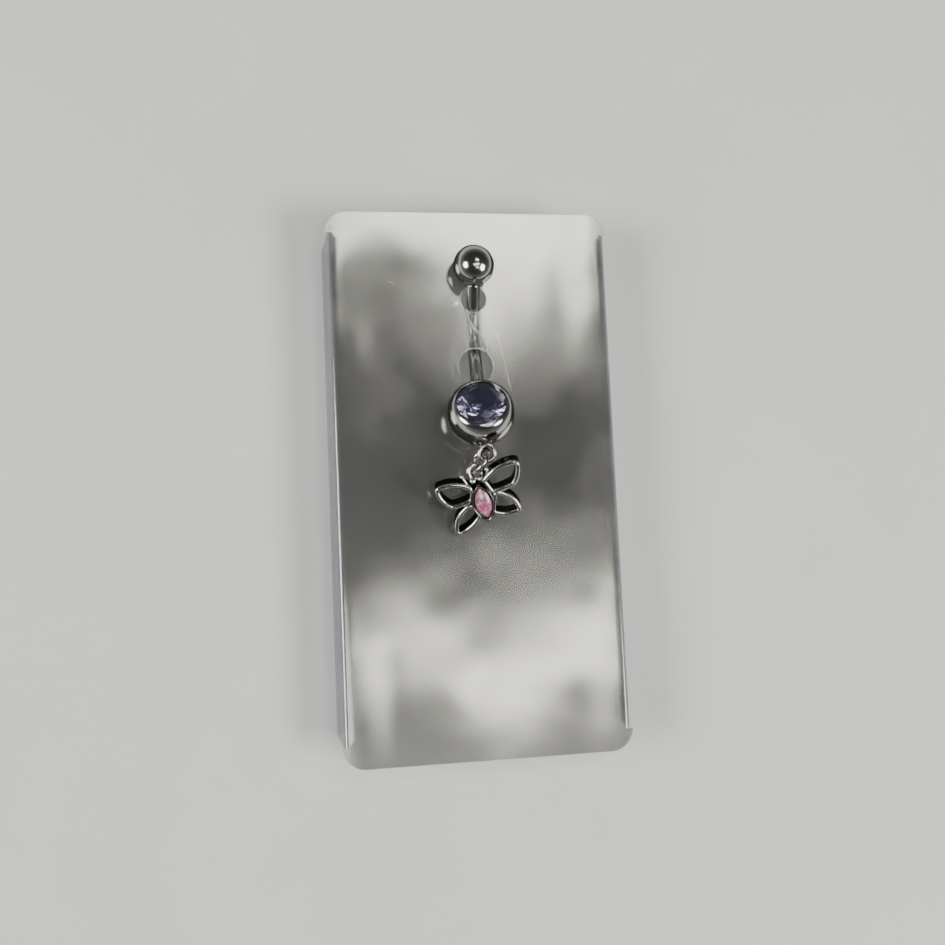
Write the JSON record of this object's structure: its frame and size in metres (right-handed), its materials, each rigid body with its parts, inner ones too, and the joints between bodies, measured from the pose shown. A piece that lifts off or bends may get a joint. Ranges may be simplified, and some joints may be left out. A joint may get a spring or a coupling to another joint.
{
  "type": "navel ring on display card",
  "caption": "Curved steel navel ring with a round stone, a screw-off ball and a hanging pierced butterfly drop, held in a clear folded display card.",
  "frame": {"origin": "middle of the footprint of the card's folded edges, on the surface it lies on", "axes": "+X to the card's right, +Y along the card towards the small ball, +Z out of the card's face"},
  "size_m": [0.0358, 0.0672, 0.014],
  "materials": {
    "clear_sheet": "clear, faintly clouded",
    "steel": "mirror polished",
    "blue_stone": "faceted",
    "pink_stone": "polished, milky with fine flecks"
  },
  "bodies": {
    "card_and_ring": {"display_card": "clear_sheet", "bar_and_cup": "steel", "round_stone": "blue_stone", "jump_ring": "steel", "butterfly_drop": "steel", "marquise_stone": "pink_stone"},
    "ball": {"top_ball": "steel"}
  },
  "joints": [
    {"name": "ball_unscrew", "type": "slide", "parent": "card_and_ring", "child": "ball", "axis": [-0.0661, 0.7907, 0.6086], "range_m": [0, 0.0022]}
  ]
}
